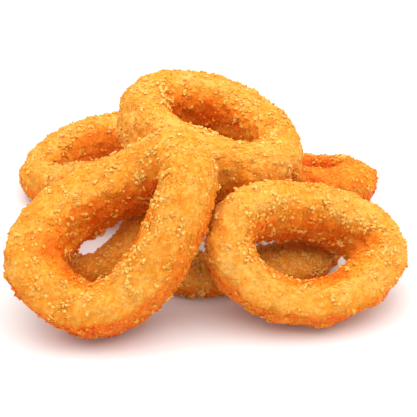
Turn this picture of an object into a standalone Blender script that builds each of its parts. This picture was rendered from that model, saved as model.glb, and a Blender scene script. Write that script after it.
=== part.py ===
"""A side of battered onion rings: seven crumbed rings in a heap, as they lie when served.

Metres, +Z up, the floor at Z = 0. The heap faces -Y. Each ring is one closed solid and one
named object. Sizes are given in millimetres below and turned into metres once, by MM.
"""
import math

import bpy
from mathutils import Matrix, Vector

MM = 0.001

# Driving dimensions, in millimetres.
CRUST_WIDE = 17.0       # limb of an ordinary ring, measured across the ring's plane
CRUST_TALL = 17.6       # limb of an ordinary ring, measured square to that plane
ROUND_POWER = 2.6       # 2 is a round limb, higher is fuller at the corners
LUMP_HIGH = 0.15        # soft unevenness of the batter under the crumb
FLAT_DEEP = 0.35        # how far a ring's lowest crust is pressed flat on the floor

# Mesh fineness of one ring.
STEPS_ROUND = 42
STEPS_LIMB = 16

CRUST_COLOUR = (0.80, 0.36, 0.075)

# Every ring of the heap. Lengths in millimetres, angles in degrees.
#   middle            where the middle of the ring is, before the heap is centred
#   lean_right        how far its upper face tips to the right (minus: to the left)
#   lean_back         how far its upper face tips to the back (minus: to the front)
#   turn              turn of its long axis within its own plane
#   long, short       across the crust centre line, along the two axes
#   thick, deep       limb size against an ordinary ring
#   flare             the limb's top leaning outward, as in an outer slice of an onion
#   saddle, saddle_at bend of the ring out of its plane, and where it is highest
#   corner, corner_at three-cornered share of its outline, and where a corner is
#   swell, swell_at   share by which one side is thicker, and where
#   on_floor          whether its lowest crust is pressed flat on the floor
RINGS = {
    "ring_front_left": dict(
        middle=(-29.6, 17.8, 31.4), lean_right=-20, lean_back=-41, turn=39,
        long=58.5, short=34.2, thick=1.09, deep=1.38, flare=9,
        saddle=5.3, saddle_at=-31, corner=0.07, corner_at=3, swell=0.01, swell_at=-20, on_floor=True),
    "ring_back_left": dict(
        middle=(-39.3, 105.2, 11.7), lean_right=-8, lean_back=3, turn=11,
        long=48.1, short=34.5, thick=0.96, deep=0.98, flare=-2,
        saddle=0.8, saddle_at=-65, corner=0.08, corner_at=-39, swell=0.13, swell_at=66, on_floor=True),
    "ring_top": dict(
        middle=(1.1, 66.1, 42.4), lean_right=11, lean_back=-10, turn=-23,
        long=49.6, short=32.7, thick=1.04, deep=1.30, flare=-7,
        saddle=0.6, saddle_at=-6, corner=0.05, corner_at=-27, swell=0.05, swell_at=141, on_floor=False),
    "ring_front_right": dict(
        middle=(31.4, 24.0, 20.3), lean_right=23, lean_back=-39, turn=4,
        long=52.5, short=31.8, thick=0.92, deep=1.32, flare=18,
        saddle=3.1, saddle_at=-40, corner=0.05, corner_at=30, swell=0.02, swell_at=115, on_floor=True),
    "ring_back_right": dict(
        middle=(30.7, 87.6, 17.3), lean_right=17, lean_back=22, turn=-36,
        long=52.0, short=29.7, thick=0.90, deep=0.81, flare=10,
        saddle=2.5, saddle_at=26, corner=0.07, corner_at=-29, swell=0.17, swell_at=51, on_floor=True),
    "ring_lower_left": dict(
        middle=(-38.0, 51.4, 14.1), lean_right=-21, lean_back=-3, turn=74,
        long=46.6, short=43.6, thick=0.81, deep=0.76, flare=2,
        saddle=2.9, saddle_at=104, corner=0.02, corner_at=20, swell=0.07, swell_at=197, on_floor=True),
    "ring_lower_middle": dict(
        middle=(7.3, 59.1, 7.1), lean_right=0, lean_back=0, turn=-8,
        long=59.4, short=54.2, thick=1.03, deep=0.75, flare=12,
        saddle=0.1, saddle_at=-85, corner=0.09, corner_at=-5, swell=0.00, swell_at=-2, on_floor=True),
}


def clear_file():
    """Remove every object and mesh, so the file starts empty."""
    for thing in list(bpy.data.objects):
        bpy.data.objects.remove(thing, do_unlink=True)
    for mesh in list(bpy.data.meshes):
        bpy.data.meshes.remove(mesh)


def new_collection(name):
    group = bpy.data.collections.new(name)
    bpy.context.scene.collection.children.link(group)
    return group


def move_to(thing, group):
    """Put an object in one collection only."""
    for other in list(thing.users_collection):
        other.objects.unlink(thing)
    group.objects.link(thing)


def crust_material(name, tint):
    """Golden crust, a little lighter or darker from ring to ring."""
    material = bpy.data.materials.new(name)
    material.use_nodes = True
    shader = material.node_tree.nodes["Principled BSDF"]
    red, green, blue = (channel * tint for channel in CRUST_COLOUR)
    shader.inputs["Base Color"].default_value = (red, green, blue, 1.0)
    shader.inputs["Roughness"].default_value = 0.75
    shader.inputs["Metallic"].default_value = 0.0
    material.diffuse_color = (red, green, blue, 1.0)
    return material


def centre_line(form, angle):
    """Point on the ring's centre line, in its own plane, for an angle in radians."""
    corner_at = math.radians(form["corner_at"])
    saddle_at = math.radians(form["saddle_at"])
    reach = 1.0 + form["corner"] * math.cos(3.0 * (angle - corner_at))
    return Vector((
        0.5 * form["long"] * math.cos(angle) * reach,
        0.5 * form["short"] * math.sin(angle) * reach,
        form["saddle"] * math.cos(2.0 * (angle - saddle_at)),
    ))


def limb_frame(form, angle):
    """Outward and upward directions of the limb's section, with the flare turned in."""
    step = 0.01
    along = (centre_line(form, angle + step) - centre_line(form, angle - step)).normalized()
    outward = along.cross(Vector((0.0, 0.0, 1.0))).normalized()
    upward = outward.cross(along)
    flare = math.radians(form["flare"])
    wide_way = math.cos(flare) * outward - math.sin(flare) * upward
    tall_way = math.sin(flare) * outward + math.cos(flare) * upward
    return wide_way, tall_way


def limb_size(form, angle, around, seed):
    """Half width and half height of the limb at this place, with the soft lumps."""
    swell = 1.0 + form["swell"] * math.cos(angle - math.radians(form["swell_at"]))
    lump = (math.sin(3.0 * angle + 2.0 * around + 1.7 * seed)
            + math.sin(5.0 * angle - around + 2.9 * seed)
            + 0.7 * math.sin(8.0 * angle + 3.0 * around + 4.1 * seed))
    half_wide = 0.5 * CRUST_WIDE * form["thick"] * swell + LUMP_HIGH * lump
    half_tall = 0.5 * CRUST_TALL * form["deep"] * swell + LUMP_HIGH * lump
    return half_wide, half_tall


def shape_ring(thing, form, seed):
    """Move the points of a plain torus to the form of one ring."""
    for point in thing.data.vertices:
        angle = math.atan2(point.co.y, point.co.x)
        from_limb = math.hypot(point.co.x, point.co.y) - 1.0
        around = math.atan2(point.co.z, from_limb)
        wide, tall = math.cos(around), math.sin(around)
        full = (abs(wide) ** ROUND_POWER + abs(tall) ** ROUND_POWER) ** (-1.0 / ROUND_POWER)
        half_wide, half_tall = limb_size(form, angle, around, seed)
        wide_way, tall_way = limb_frame(form, angle)
        place = centre_line(form, angle)
        place += wide_way * (half_wide * wide * full) + tall_way * (half_tall * tall * full)
        point.co = place * MM
    thing.data.update()


def ring_turn(form):
    """Rotation of a ring: its face tipped by the two leans, then turned in its plane."""
    face = Vector((
        math.tan(math.radians(form["lean_right"])),
        math.tan(math.radians(form["lean_back"])),
        1.0,
    )).normalized()
    sideways = (Vector((1.0, 0.0, 0.0)) - face * face.x).normalized()
    backward = face.cross(sideways)
    tipped = Matrix((sideways, backward, face)).transposed()
    return tipped @ Matrix.Rotation(math.radians(form["turn"]), 3, "Z")


def make_ring(name, form, seed, group):
    bpy.ops.mesh.primitive_torus_add(
        major_radius=1.0, minor_radius=0.3,
        major_segments=STEPS_ROUND, minor_segments=STEPS_LIMB)
    ring = bpy.context.active_object
    ring.name = name
    ring.data.name = name
    shape_ring(ring, form, seed)
    for face in ring.data.polygons:
        face.use_smooth = True
    ring.rotation_euler = ring_turn(form).to_euler()
    ring.location = Vector(form["middle"]) * MM
    ring.data.materials.append(crust_material(name.replace("ring", "crust"), 0.94 + 0.02 * seed))
    move_to(ring, group)
    return ring


def placed_points(ring):
    """The ring's points where they stand in the heap."""
    bpy.context.view_layer.update()
    return [ring.matrix_world @ point.co for point in ring.data.vertices]


def rest_on_floor(ring):
    """Lower or lift a ring until its lowest crust reaches FLAT_DEEP under the floor."""
    lowest = min(place.z for place in placed_points(ring))
    ring.location.z -= lowest + FLAT_DEEP * MM


def centre_heap(rings, holder):
    """Slide the heap over the origin: middle of its box, seen from above."""
    places = [place for ring in rings for place in placed_points(ring)]
    middle_x = 0.5 * (min(place.x for place in places) + max(place.x for place in places))
    middle_y = 0.5 * (min(place.y for place in places) + max(place.y for place in places))
    holder.location = (0.0, 0.0, 0.0)
    for ring in rings:
        ring.location.x -= middle_x
        ring.location.y -= middle_y
        ring.parent = holder
    return middle_x, middle_y


def floor_cutter(group):
    """A block whose top face is the floor; it takes the pressed crust off each ring."""
    side = 400.0 * MM
    deep = 20.0 * MM
    bpy.ops.mesh.primitive_cube_add(size=1.0, location=(0.0, 0.0, -0.5 * deep))
    block = bpy.context.active_object
    block.name = "cut_floor"
    block.scale = (side, side, deep)
    block.hide_render = True
    block.display_type = "WIRE"
    move_to(block, group)
    return block


def press_flat(ring, block):
    cut = ring.modifiers.new("flat_spot", "BOOLEAN")
    cut.operation = "DIFFERENCE"
    cut.solver = "EXACT"
    cut.object = block


def build():
    clear_file()
    heap = new_collection("onion_rings_side")
    cutters = new_collection("cutters")
    holder = bpy.data.objects.new("heap", None)
    heap.objects.link(holder)
    rings = []
    for seed, (name, form) in enumerate(RINGS.items()):
        ring = make_ring(name, form, seed, heap)
        if form["on_floor"]:
            rest_on_floor(ring)
        rings.append(ring)
    centre_heap(rings, holder)
    block = floor_cutter(cutters)
    for ring in rings:
        if RINGS[ring.name]["on_floor"]:
            press_flat(ring, block)


build()
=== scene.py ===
"""Looks of the onion rings side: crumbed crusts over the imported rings, a pale floor and soft light."""
import math

import bpy
import bmesh
import numpy as np
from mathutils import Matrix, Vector
from mathutils.kdtree import KDTree


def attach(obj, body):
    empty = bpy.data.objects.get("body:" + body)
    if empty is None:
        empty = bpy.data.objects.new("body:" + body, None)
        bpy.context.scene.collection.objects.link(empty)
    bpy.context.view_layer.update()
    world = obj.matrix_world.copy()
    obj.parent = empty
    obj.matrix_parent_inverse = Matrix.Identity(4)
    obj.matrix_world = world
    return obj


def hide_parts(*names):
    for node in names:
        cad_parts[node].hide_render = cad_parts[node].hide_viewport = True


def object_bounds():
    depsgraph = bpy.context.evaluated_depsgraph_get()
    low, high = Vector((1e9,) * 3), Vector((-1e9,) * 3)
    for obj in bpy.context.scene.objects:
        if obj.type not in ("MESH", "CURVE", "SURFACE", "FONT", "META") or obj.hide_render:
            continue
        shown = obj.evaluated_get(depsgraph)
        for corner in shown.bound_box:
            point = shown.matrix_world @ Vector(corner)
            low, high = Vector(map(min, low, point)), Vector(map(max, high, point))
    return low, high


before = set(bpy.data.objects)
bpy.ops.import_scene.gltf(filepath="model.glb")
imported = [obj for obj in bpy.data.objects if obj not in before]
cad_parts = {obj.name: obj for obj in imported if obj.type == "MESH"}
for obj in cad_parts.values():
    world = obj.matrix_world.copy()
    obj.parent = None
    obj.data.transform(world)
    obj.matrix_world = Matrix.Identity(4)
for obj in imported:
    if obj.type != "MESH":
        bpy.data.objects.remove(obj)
cad_box = [list(corner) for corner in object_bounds()]

MM = 0.001

# The crust: a solid's surface is the outside of its crumbs, so the coat under them lies deeper.
VOXEL = 0.70 * MM
SMOOTHING_FACTOR = 0.5
SMOOTHING_STEPS = 16
COAT_DEPTH = 0.65 * MM

# The coat's unevenness: soft lumps, smaller dimples, and grains of relief. The middle of a grain
# is raised by RELIEF_HEIGHT at most, and by RELIEF_LEAST ** RELIEF_POWER of that at least.
LUMP_SIZE = 5.0 * MM
LUMP_HEIGHT = 0.26 * MM
DIMPLE_SIZE = 2.0 * MM
DIMPLE_HEIGHT = 0.18 * MM
RELIEF_SPACING = 1.30 * MM
RELIEF_REACH = 0.85 * RELIEF_SPACING
RELIEF_HEIGHT = 0.42 * MM
RELIEF_LEAST = 0.15
RELIEF_POWER = 1.5

# A soft noise is a sum of waves, more of them for the dimples. Their lengths are between these
# two multiples of its size.
SOFT_WAVES = 22
DIMPLE_WAVES = 40
SHORTEST_WAVE = 1.4
LONGEST_WAVE = 3.2

# The coat's tone: its middle; how much paler a raised grain is, partly its own paler colour and
# partly painted highlight, with painted shade in the coat between grains; and how much painted
# shade darkens sheltered crust and crust near the floor.
COAT_TONE = 0.46
RAISED_TONE_AND_HIGHLIGHT = 0.24
SHELTER_PAINTED_SHADE = 0.27
FLOOR_PAINTED_SHADE = 0.10
FLOOR_REACH = 16.0 * MM

# Where the crust is sheltered, and so gets painted shade and fewer crumbs, by how squarely it
# faces the hole, and by how far its normal points up.
HOLE_FROM = 0.40
HOLE_FULL = 0.90
UNDER_FROM = 0.10
UNDER_FULL = -0.30

# Where the rim of the hole is, by how squarely the crust faces the hole.
RIM_FACING = 0.45
RIM_WIDTH = 0.35

# How the crumbs are spread: the size and strength of their loose clumps, the share that is
# missing where the crust is sheltered, and how wide and high a heap of them is.
CLUMP_SIZE = 3.5 * MM
CLUMP_SHARE = 0.75
SHELTER_THINNING = 0.15
HEAP_SPREAD = 0.60 * MM
HEAP_RISE = 0.80 * MM

# The form of a crumb of size 1. A four-faced one is a pyramid. Along each axis it is squeezed to
# MOST_SQUEEZED at most, and its corners are moved in to CORNER_IN or out to CORNER_OUT at most.
GRAIN_RADIUS = 0.5
PYRAMID_HEIGHT = 0.8
MOST_SQUEEZED = 0.60
CORNER_IN = 0.55
CORNER_OUT = 1.30

# The higher this is, the more of a kind's crumbs are small.
SIZE_POWER = 1.6

# How a crumb sits: how far it is raised at most, as a share of its size, how deep the lowest
# corner of a loose one is sunk in the coat, and how strongly painted highlight pales it towards
# its tip and painted shade darkens its base.
RISE_SHARE = 0.20
BITE = 0.05 * MM
STICKING_PASSES = 2
TIP_PAINTED_LIGHT = 0.20

# How far light wanders under the surface, and red's, green's and blue's shares of that way. A
# crumb is smaller than the coat, so less.
COAT_SOFTNESS = 1.4 * MM
CRUMB_SOFTNESS = 0.25 * MM
SOFT_REACH = (1.0, 0.55, 0.22)
SOFT_SHARE = 0.60

# The material's patterns: the size of each one's features, and how much it moves the tone.
PATCH_SIZE = 9.0 * MM
PATCH_TONE = 0.55
MOTTLE_SIZE = 2.5 * MM
MOTTLE_TONE = 0.25
PACKED_SIZE = 0.75 * MM
PACKED_TONE = 0.08
# Painted shade in the gaps between packed grains.
GAP_PAINTED_SHADE = -0.06
BUMP_SIZE = 0.40 * MM
BUMP_HEIGHT = 0.25 * MM
BUMP_STRENGTH = 0.3

# Finish of the crust: dry, and a little rougher where the mottle is paler.
LEAST_ROUGH = 0.45
MOTTLE_ROUGH = 0.30
REFRACTION = 1.45
SPECULAR = 0.18

# How much deeper (or, below zero, paler) the whole of one ring is than the rest: partly the
# rings' own fry colour, partly painted light, paler on the lower middle ring to lift its shaded
# part and deeper on the lower left ring, which is seen in shade.
RING_DEPTH = {
    "ring_back_right": 0.17,
    "ring_back_left": -0.03,
    "ring_lower_left": 0.08,
    "ring_lower_middle": -0.06,
    "ring_top": -0.04,
    "ring_front_right": -0.05,
}

# Rings whose whole crust counts as rim, from 0 to 1, so that crumbs gather all over it.
RIM_ALL_OVER = {
    "ring_lower_left": 0.5,
    "ring_lower_middle": 0.8,
}

# Colours of the crust by tone, from the brown where painted shade is deepest, on undersides near the
# floor, to the pale gold of its crumbs.
CRUST_COLOURS = (
    (0.00, (0.55, 0.070, 0.001)),
    (0.16, (0.82, 0.125, 0.003)),
    (0.50, (0.84, 0.322, 0.021)),
    (0.95, (0.88, 0.575, 0.155)),
)

# Crumbs stuck on the coat, one piece for each kind. `faces` is how many faces a grain has,
# `cluster` how many are heaped together, `flat` how much a grain is pressed on the coat, and
# `to_rim` how strongly they gather at the rims of the holes. `small` and `large` are across, in
# metres. `tone` runs from the deepest colour, 0, to the palest, 1, and `shaded` is the share of
# the coat's painted shade and per-ring tone that the crumbs take.
CRUMBS = {
    "crumbs_dust": dict(
        count=43000, faces=4, cluster=1, flat=0.25, to_rim=0.0,
        small=0.60 * MM, large=1.00 * MM, tone=(0.40, 0.62), shaded=1.0),
    "crumbs_fine": dict(
        count=24400, faces=8, cluster=1, flat=0.25, to_rim=0.3,
        small=0.80 * MM, large=1.30 * MM, tone=(0.42, 0.72), shaded=0.9),
    "crumbs_coarse": dict(
        count=3200, faces=20, cluster=1, flat=0.25, to_rim=1.5,
        small=1.10 * MM, large=1.90 * MM, tone=(0.46, 0.84), shaded=0.7),
    "crumbs_heaped": dict(
        count=9600, faces=20, cluster=4, flat=0.20, to_rim=4.0,
        small=1.00 * MM, large=1.80 * MM, tone=(0.54, 0.94), shaded=0.5),
}

# Seeds of the random draws. Each ring and each kind of crumb has its own, SEED_STEP apart, and
# CLUMP_SEED is added for the clumps. CRUMB_PATTERN moves the crumbs' colour pattern off the coats'.
COAT_SEED = 100
CRUMB_SEED = 500
SEED_STEP = 10
CLUMP_SEED = 7
CRUMB_PATTERN = 9.0

# The floor lies just under the heap, so that the two never share a plane.
FLOOR_SIDE = 6.0
FLOOR_DROP = 0.1 * MM
FLOOR_COLOUR = (0.82, 0.82, 0.82)
FLOOR_ROUGHNESS = 0.9
FLOOR_GLOW = 0.06

# Square soft lights aimed at the middle of the heap: place and side in metres, power in watts.
LIGHTS = {
    "light_key": dict(place=(0.04, -0.22, 0.70), side=0.8, power=6.1),
    "light_left": dict(place=(-0.48, -0.16, 0.50), side=0.5, power=0.9),
    "light_right": dict(place=(0.50, -0.10, 0.45), side=0.5, power=1.3),
    "light_back": dict(place=(-0.20, 0.50, 0.60), side=0.6, power=2.0),
}
HEAP_MIDDLE = (0.0, 0.0, 0.02)
SURROUND_LIGHT = 0.36

# The camera looks along +Y and down by CAMERA_LIFT degrees, from CAMERA_AWAY metres off its target.
# Its lens is in millimetres.
CAMERA_LIFT = 30.0
CAMERA_AWAY = 0.52
CAMERA_TARGET = (0.0020, -0.0187, 0.0258)
CAMERA_LENS = 132.4
CAMERA_NEAR = 0.01

# Guards against a division by nothing, and against doubled corners of a unit grain.
TINY = 1e-9
SAME_CORNER = 1e-6


# ---------------------------------------------------------------- helpers

def soft_noise(points, size, seed, waves=SOFT_WAVES):
    """A smooth random field with bumps about `size` across, of mean 0 and spread 1."""
    rng = np.random.default_rng(seed)
    directions = rng.normal(size=(waves, 3))
    directions /= np.linalg.norm(directions, axis=1)[:, None]
    lengths = size * rng.uniform(SHORTEST_WAVE, LONGEST_WAVE, waves)
    phases = rng.uniform(0.0, 2.0 * math.pi, waves)
    field = np.zeros(len(points))
    for direction, length, phase in zip(directions, lengths, phases):
        field += np.cos(points @ direction * (2.0 * math.pi / length) + phase)
    return field * math.sqrt(2.0 / waves)


def vertex_array(mesh):
    """The mesh's vertices as an array of rows."""
    flat = np.zeros(len(mesh.vertices) * 3, np.float32)
    mesh.vertices.foreach_get("co", flat)
    return flat.reshape(-1, 3).astype(float)


def normal_array(mesh):
    """The mesh's vertex normals as an array of rows."""
    flat = np.zeros(len(mesh.vertices) * 3, np.float32)
    mesh.vertex_normals.foreach_get("vector", flat)
    return flat.reshape(-1, 3).astype(float)


def set_vertices(mesh, points):
    """Writes the rows back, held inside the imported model's box."""
    inside = np.clip(points, cad_box[0], cad_box[1])
    mesh.vertices.foreach_set("co", inside.astype(np.float32).ravel())
    mesh.update()


def add_attribute(mesh, name, values):
    """One number for each vertex, for the materials to read."""
    attribute = mesh.attributes.new(name, "FLOAT", "POINT")
    attribute.data.foreach_set("value", np.asarray(values, np.float32))


def with_modifiers(obj):
    """Replaces the object's mesh by what its modifiers make of it."""
    depsgraph = bpy.context.evaluated_depsgraph_get()
    done = bpy.data.meshes.new_from_object(obj.evaluated_get(depsgraph), depsgraph=depsgraph)
    obj.modifiers.clear()
    obj.data = done


# ---------------------------------------------------------------- materials

def crust_material(name, seed, softness):
    """Fried breadcrumb coat: grains of slightly different gold, with painted shade between them and in
    hollows.
    """
    material = bpy.data.materials.new(name)
    material.use_nodes = True
    nodes = material.node_tree.nodes
    links = material.node_tree.links
    shader = nodes["Principled BSDF"]
    place = nodes.new("ShaderNodeTexCoord")

    def shifted(shift):
        """The object's own coordinates, moved so that no two patterns line up."""
        mapping = nodes.new("ShaderNodeMapping")
        mapping.inputs["Location"].default_value = (seed + shift, shift, -seed)
        links.new(place.outputs["Object"], mapping.inputs["Vector"])
        return mapping.outputs["Vector"]

    def noise(size, detail, shift):
        """A noise texture with features of about `size` metres."""
        texture = nodes.new("ShaderNodeTexNoise")
        texture.inputs["Scale"].default_value = 1.0 / size
        texture.inputs["Detail"].default_value = detail
        links.new(shifted(shift), texture.inputs["Vector"])
        return texture.outputs["Fac"]

    def grains(size, shift):
        """Packed grains of about `size` metres: each one's own number, and the depth between them."""
        texture = nodes.new("ShaderNodeTexVoronoi")
        texture.inputs["Scale"].default_value = 1.0 / size
        links.new(shifted(shift), texture.inputs["Vector"])
        own = nodes.new("ShaderNodeSeparateColor")
        links.new(texture.outputs["Color"], own.inputs["Color"])
        return own.outputs["Red"], texture.outputs["Distance"]

    def math_node(operation, first, second):
        """One arithmetic step on a socket and a number or another socket."""
        node = nodes.new("ShaderNodeMath")
        node.operation = operation
        for socket, value in zip(node.inputs, (first, second)):
            if isinstance(value, (int, float)):
                socket.default_value = value
            else:
                links.new(value, socket)
        return node.outputs[0]

    patches = noise(PATCH_SIZE, detail=2.0, shift=0.3)
    mottle = noise(MOTTLE_SIZE, detail=3.0, shift=1.7)
    grain, gap = grains(PACKED_SIZE, shift=2.9)
    tone = nodes.new("ShaderNodeAttribute")
    tone.attribute_name = "tone"

    total = tone.outputs["Fac"]
    # Patches, mottle and grain numbers are the crust's own random tone; the gap term is painted shade
    # between grains.
    patterns = (
        (patches, PATCH_TONE),
        (mottle, MOTTLE_TONE),
        (grain, PACKED_TONE),
        (gap, GAP_PAINTED_SHADE),
    )
    for socket, weight in patterns:
        centred = math_node("SUBTRACT", socket, 0.5)
        total = math_node("ADD", total, math_node("MULTIPLY", centred, weight))

    ramp = nodes.new("ShaderNodeValToRGB")
    stops = ramp.color_ramp.elements
    while len(stops) < len(CRUST_COLOURS):
        any_place = 0.5
        stops.new(any_place)
    for stop, (position, colour) in zip(stops, CRUST_COLOURS):
        stop.position = position
        stop.color = (*colour, 1.0)
    links.new(total, ramp.inputs["Fac"])
    links.new(ramp.outputs["Color"], shader.inputs["Base Color"])

    rough = math_node("ADD", math_node("MULTIPLY", mottle, MOTTLE_ROUGH), LEAST_ROUGH)
    links.new(rough, shader.inputs["Roughness"])
    shader.inputs["IOR"].default_value = REFRACTION
    shader.inputs["Specular IOR Level"].default_value = SPECULAR
    shader.inputs["Subsurface Weight"].default_value = SOFT_SHARE
    shader.inputs["Subsurface Radius"].default_value = SOFT_REACH
    shader.inputs["Subsurface Scale"].default_value = softness

    bump = nodes.new("ShaderNodeBump")
    bump.inputs["Strength"].default_value = BUMP_STRENGTH
    bump.inputs["Distance"].default_value = BUMP_HEIGHT
    fine = noise(BUMP_SIZE, detail=3.0, shift=4.1)
    links.new(math_node("SUBTRACT", fine, gap), bump.inputs["Height"])
    links.new(bump.outputs["Normal"], shader.inputs["Normal"])
    return material


def plain_material(name, colour, roughness, glow):
    """The floor's matt finish, glowing a little as on a light table."""
    material = bpy.data.materials.new(name)
    material.use_nodes = True
    shader = material.node_tree.nodes["Principled BSDF"]
    shader.inputs["Base Color"].default_value = (*colour, 1.0)
    shader.inputs["Roughness"].default_value = roughness
    shader.inputs["Emission Color"].default_value = (1.0, 1.0, 1.0, 1.0)
    shader.inputs["Emission Strength"].default_value = glow
    return material


# ---------------------------------------------------------------- crusts

def crumb_relief(points, seed):
    """Grains standing up from the coat: how high each vertex is raised, from 0 to 1."""
    rng = np.random.default_rng(seed)
    area = len(points) * VOXEL ** 2
    count = int(area / RELIEF_SPACING ** 2)
    chosen = rng.choice(len(points), count, replace=False)
    heights = rng.uniform(RELIEF_LEAST, 1.0, count) ** RELIEF_POWER
    tree = KDTree(count)
    for index, vertex in enumerate(chosen):
        tree.insert(points[vertex], index)
    tree.balance()
    raised = np.zeros(len(points))
    for vertex, point in enumerate(points):
        _, nearest, distance = tree.find(point)
        raised[vertex] = heights[nearest] * max(0.0, 1.0 - (distance / RELIEF_REACH) ** 2)
    return raised


def hole_facing(points, normals):
    """How squarely each vertex faces the middle of its ring's hole, from -1 (away) to 1."""
    spread = points - points.mean(axis=0)
    every_twentieth = spread[::20]
    _, _, axes = np.linalg.svd(every_twentieth, full_matrices=False)
    face = axes[2]
    outward = spread - np.outer(spread @ face, face)
    outward /= np.linalg.norm(outward, axis=1)[:, None]
    return -(normals * outward).sum(axis=1)


def make_crust(node, seed):
    """A ring's crumb coat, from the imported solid: smoothed, sunk, and roughened at three scales."""
    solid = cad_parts[node]
    crust = bpy.data.objects.new(node.replace("ring", "crust"), solid.data.copy())
    bpy.context.scene.collection.objects.link(crust)
    crust.data.materials.clear()

    remesh = crust.modifiers.new("Remesh", "REMESH")
    remesh.mode = "VOXEL"
    remesh.voxel_size = VOXEL
    remesh.use_smooth_shade = True
    smooth = crust.modifiers.new("Smooth", "SMOOTH")
    smooth.factor = SMOOTHING_FACTOR
    smooth.iterations = SMOOTHING_STEPS
    with_modifiers(crust)

    mesh = crust.data
    points = vertex_array(mesh)
    normals = normal_array(mesh)
    raised = crumb_relief(points, seed)
    facing = hole_facing(points, normals)
    # Hole walls and undersides: they get painted shade, and fewer crumbs.
    in_hole = (facing - HOLE_FROM) / (HOLE_FULL - HOLE_FROM)
    underneath = (UNDER_FROM - normals[:, 2]) / (UNDER_FROM - UNDER_FULL)
    sheltered = np.clip(np.maximum(in_hole, underneath), 0.0, 1.0)
    rim = np.exp(-((facing - RIM_FACING) / RIM_WIDTH) ** 2)
    rim = np.maximum(rim, RIM_ALL_OVER.get(node, 0.0))
    lift = -COAT_DEPTH + raised * RELIEF_HEIGHT
    lift += LUMP_HEIGHT * soft_noise(points, LUMP_SIZE, seed + 1)
    lift += DIMPLE_HEIGHT * soft_noise(points, DIMPLE_SIZE, seed + 2, DIMPLE_WAVES)
    set_vertices(mesh, points + normals * lift[:, None])
    # Painted shade, darker low down near the floor.
    near_floor = np.clip(1.0 - points[:, 2] / FLOOR_REACH, 0.0, 1.0)
    # Painted shade in sheltered parts and near the floor, plus the per-ring tone, which is partly the
    # ring's own fry colour and partly painted light.
    deeper = SHELTER_PAINTED_SHADE * sheltered + FLOOR_PAINTED_SHADE * near_floor + RING_DEPTH.get(node, 0.0)
    # Raised grains paler, partly their own paler colour and partly painted highlight, with painted shade
    # in the coat between them.
    add_attribute(mesh, "tone", COAT_TONE + RAISED_TONE_AND_HIGHLIGHT * raised - deeper)
    add_attribute(mesh, "shelter", sheltered)
    add_attribute(mesh, "deeper", deeper)
    add_attribute(mesh, "rim", rim)
    mesh.shade_smooth()
    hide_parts(node)
    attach(crust, "root")
    return crust


# ---------------------------------------------------------------- crumbs

def read_attribute(mesh, name):
    """The numbers that add_attribute stored."""
    values = np.zeros(len(mesh.vertices), np.float32)
    mesh.attributes[name].data.foreach_get("value", values)
    return values.astype(float)


def surface_samples(crusts, count, to_rim, seed):
    """Random places on the crusts: points, normals, and how far painted shade and per-ring tone darken
    the crust's colour there.

    Crumbs lie in loose clumps, and sheltered crust holds fewer of them.
    """
    rng = np.random.default_rng(seed)
    corners, normals, depths, weights = [], [], [], []
    for crust in crusts:
        mesh = crust.data
        mesh.calc_loop_triangles()
        triangles = np.zeros(len(mesh.loop_triangles) * 3, np.int32)
        mesh.loop_triangles.foreach_get("vertices", triangles)
        triangles = triangles.reshape(-1, 3)
        corner = vertex_array(mesh)[triangles]
        cross = np.cross(corner[:, 1] - corner[:, 0], corner[:, 2] - corner[:, 0])
        shelter_share = read_attribute(mesh, "shelter")[triangles].mean(axis=1)
        clumps = np.exp(CLUMP_SHARE * soft_noise(corner[:, 0], CLUMP_SIZE, seed + CLUMP_SEED))
        corners.append(corner)
        normals.append(normal_array(mesh)[triangles].mean(axis=1))
        depths.append(read_attribute(mesh, "deeper")[triangles].mean(axis=1))
        gather = 1.0 + to_rim * read_attribute(mesh, "rim")[triangles].mean(axis=1)
        thinning = 1.0 - SHELTER_THINNING * shelter_share
        weights.append(np.linalg.norm(cross, axis=1) * thinning * clumps * gather)
    corners = np.concatenate(corners)
    normals = np.concatenate(normals)
    depths = np.concatenate(depths)
    weights = np.concatenate(weights)
    chosen = rng.choice(len(weights), count, p=weights / weights.sum())
    shares = rng.dirichlet((1.0, 1.0, 1.0), count)
    points = (corners[chosen] * shares[:, :, None]).sum(axis=1)
    lengths = np.linalg.norm(normals[chosen], axis=1)[:, None]
    return points, normals[chosen] / np.maximum(lengths, TINY), depths[chosen]


def random_turns(count, rng):
    """Rotation matrices, evenly random, one for each crumb."""
    quaternion = rng.normal(size=(count, 4))
    quaternion /= np.linalg.norm(quaternion, axis=1)[:, None]
    w, x, y, z = quaternion.T
    rows = [
        [1 - 2 * (y * y + z * z), 2 * (x * y - z * w), 2 * (x * z + y * w)],
        [2 * (x * y + z * w), 1 - 2 * (x * x + z * z), 2 * (y * z - x * w)],
        [2 * (x * z - y * w), 2 * (y * z + x * w), 1 - 2 * (x * x + y * y)],
    ]
    return np.array(rows).transpose(2, 0, 1)


def grain_shape(face_count):
    """A unit grain with four, eight or twenty faces."""
    shape = bmesh.new()
    if face_count == 4:
        bmesh.ops.create_cone(
            shape, segments=3, radius1=GRAIN_RADIUS, radius2=0.0, depth=PYRAMID_HEIGHT, cap_ends=True)
    elif face_count == 8:
        bmesh.ops.create_uvsphere(shape, u_segments=4, v_segments=2, radius=GRAIN_RADIUS)
    else:
        bmesh.ops.create_icosphere(shape, subdivisions=1, radius=GRAIN_RADIUS)
    bmesh.ops.remove_doubles(shape, verts=shape.verts, dist=SAME_CORNER)
    bmesh.ops.triangulate(shape, faces=shape.faces)
    points = np.array([vertex.co[:] for vertex in shape.verts])
    triangles = np.array([[vertex.index for vertex in face.verts] for face in shape.faces])
    shape.free()
    return points, triangles


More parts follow.
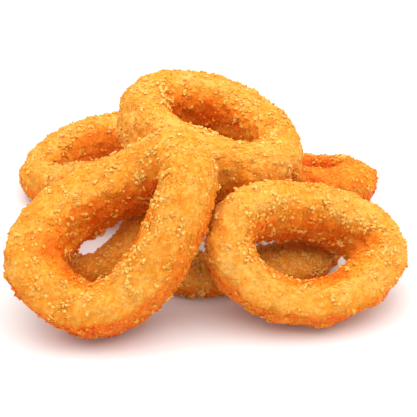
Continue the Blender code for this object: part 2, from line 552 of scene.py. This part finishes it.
def heap_together(centres, normals, depths, cluster, rng):
    """Each place becomes `cluster` places close together, a little above one another."""
    centres = np.repeat(centres, cluster, axis=0)
    normals = np.repeat(normals, cluster, axis=0)
    offset = rng.normal(0.0, HEAP_SPREAD, centres.shape)
    out = (offset * normals).sum(axis=1)[:, None]
    offset += (rng.uniform(0.0, HEAP_RISE, len(out))[:, None] - out) * normals
    return centres + offset, normals, np.repeat(depths, cluster)


def coat_tree(crusts):
    """A search tree of the coats' vertices, with their places and normals as arrays of rows."""
    points = np.concatenate([vertex_array(crust.data) for crust in crusts])
    normals = np.concatenate([normal_array(crust.data) for crust in crusts])
    tree = KDTree(len(points))
    for index, point in enumerate(points):
        tree.insert(point, index)
    tree.balance()
    return tree, points, normals


def stick_to_coat(grains, coat):
    """Sinks each grain that would hang off the coat, until its lowest corner is in the coat.

    The nearest vertex stands for the coat, so a few grains stay a tenth of a millimetre off it.
    """
    tree, points, normals = coat
    for _ in range(STICKING_PASSES):
        nearest = np.array([tree.find(middle)[1] for middle in grains.mean(axis=1)])
        above = grains - points[nearest][:, None, :]
        lowest = (above * normals[nearest][:, None, :]).sum(axis=2).min(axis=1)
        too_far = np.maximum(lowest + BITE, 0.0)
        grains = grains - (too_far[:, None] * normals[nearest])[:, None, :]
    return grains


def make_crumbs(name, crusts, coat, material, seed, count, faces, cluster, flat, to_rim,
                small, large, tone, shaded):
    """One joined mesh of closed, uneven grains, stuck on the coat."""
    rng = np.random.default_rng(seed)
    centres, normals, depths = surface_samples(crusts, count // cluster, to_rim, seed + 1)
    if cluster > 1:
        centres, normals, depths = heap_together(centres, normals, depths, cluster, rng)
    shape, shape_faces = grain_shape(faces)
    sizes = small + (large - small) * rng.uniform(0.0, 1.0, count) ** SIZE_POWER
    stretch = rng.uniform(MOST_SQUEEZED, 1.0, (count, 1, 3))
    uneven = rng.uniform(CORNER_IN, CORNER_OUT, (count, len(shape), 1))
    grains = shape[None] * uneven * stretch * sizes[:, None, None]
    turns = random_turns(count, rng)
    grains = np.einsum("nij,nkj->nki", turns, grains)
    out = (grains * normals[:, None, :]).sum(axis=2)
    grains = grains - flat * out[:, :, None] * normals[:, None, :]
    rise = rng.uniform(0.0, RISE_SHARE, count) * sizes
    centres = centres + normals * rise[:, None]
    grains = stick_to_coat(grains + centres[:, None, :], coat)
    points = grains.reshape(-1, 3)
    triangles = shape_faces[None] + (np.arange(count) * len(shape))[:, None, None]

    mesh = bpy.data.meshes.new(name)
    mesh.from_pydata(points.tolist(), [], triangles.reshape(-1, 3).tolist())
    set_vertices(mesh, points)
    # Each crumb takes a share of the coat's painted shade and per-ring tone.
    tones = rng.uniform(tone[0], tone[1], count) - shaded * depths
    # Painted highlight towards each grain's tip, painted shade at its base.
    tip = TIP_PAINTED_LIGHT * out / sizes[:, None]
    add_attribute(mesh, "tone", (tones[:, None] + tip).ravel())
    mesh.materials.append(material)
    crumbs = bpy.data.objects.new(name, mesh)
    bpy.context.scene.collection.objects.link(crumbs)
    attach(crumbs, "root")
    return crumbs


# ---------------------------------------------------------------- the heap

crusts = []
for number, node in enumerate(sorted(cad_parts)):
    crust = make_crust(node, COAT_SEED + SEED_STEP * number)
    crust.data.materials.append(crust_material(crust.name, float(number), COAT_SOFTNESS))
    crusts.append(crust)

coat = coat_tree(crusts)
crumb_material = crust_material("crumb", CRUMB_PATTERN, CRUMB_SOFTNESS)
for number, (name, choices) in enumerate(CRUMBS.items()):
    seed = CRUMB_SEED + SEED_STEP * number
    crumbs = make_crumbs(name, crusts, coat, crumb_material, seed, **choices)


# ---------------------------------------------------------------- floor, light and camera

def make_floor():
    """A wide pale floor under the heap."""
    bpy.ops.mesh.primitive_plane_add(size=FLOOR_SIDE, location=(0.0, 0.0, -FLOOR_DROP))
    floor = bpy.context.active_object
    floor.name = "floor"
    floor.data.materials.append(
        plain_material("floor", FLOOR_COLOUR, FLOOR_ROUGHNESS, FLOOR_GLOW))


def make_softbox(name, place, side, power):
    """A square area light aimed at the heap's middle."""
    light = bpy.data.lights.new(name, "AREA")
    light.size = side
    light.energy = power
    lamp = bpy.data.objects.new(name, light)
    lamp.location = place
    aim = Vector(HEAP_MIDDLE) - Vector(place)
    lamp.rotation_euler = aim.to_track_quat("-Z", "Y").to_euler()
    bpy.context.scene.collection.objects.link(lamp)


def make_world(strength):
    """An even white surround."""
    world = bpy.data.worlds.new("world")
    world.use_nodes = True
    background = world.node_tree.nodes["Background"]
    background.inputs["Color"].default_value = (1.0, 1.0, 1.0, 1.0)
    background.inputs["Strength"].default_value = strength
    bpy.context.scene.world = world


def make_camera():
    """Looks along +Y from the front, CAMERA_LIFT degrees above the floor."""
    lift = math.radians(CAMERA_LIFT)
    target = Vector(CAMERA_TARGET)
    camera = bpy.data.objects.new("camera", bpy.data.cameras.new("camera"))
    camera.location = target + CAMERA_AWAY * Vector((0.0, -math.cos(lift), math.sin(lift)))
    camera.rotation_euler = (math.pi / 2 - lift, 0.0, 0.0)
    camera.data.lens = CAMERA_LENS
    camera.data.clip_start = CAMERA_NEAR
    bpy.context.scene.collection.objects.link(camera)
    bpy.context.scene.camera = camera


make_floor()
for name, choices in LIGHTS.items():
    make_softbox(name, **choices)
make_world(SURROUND_LIGHT)
make_camera()
bpy.context.scene.view_settings.view_transform = "Standard"
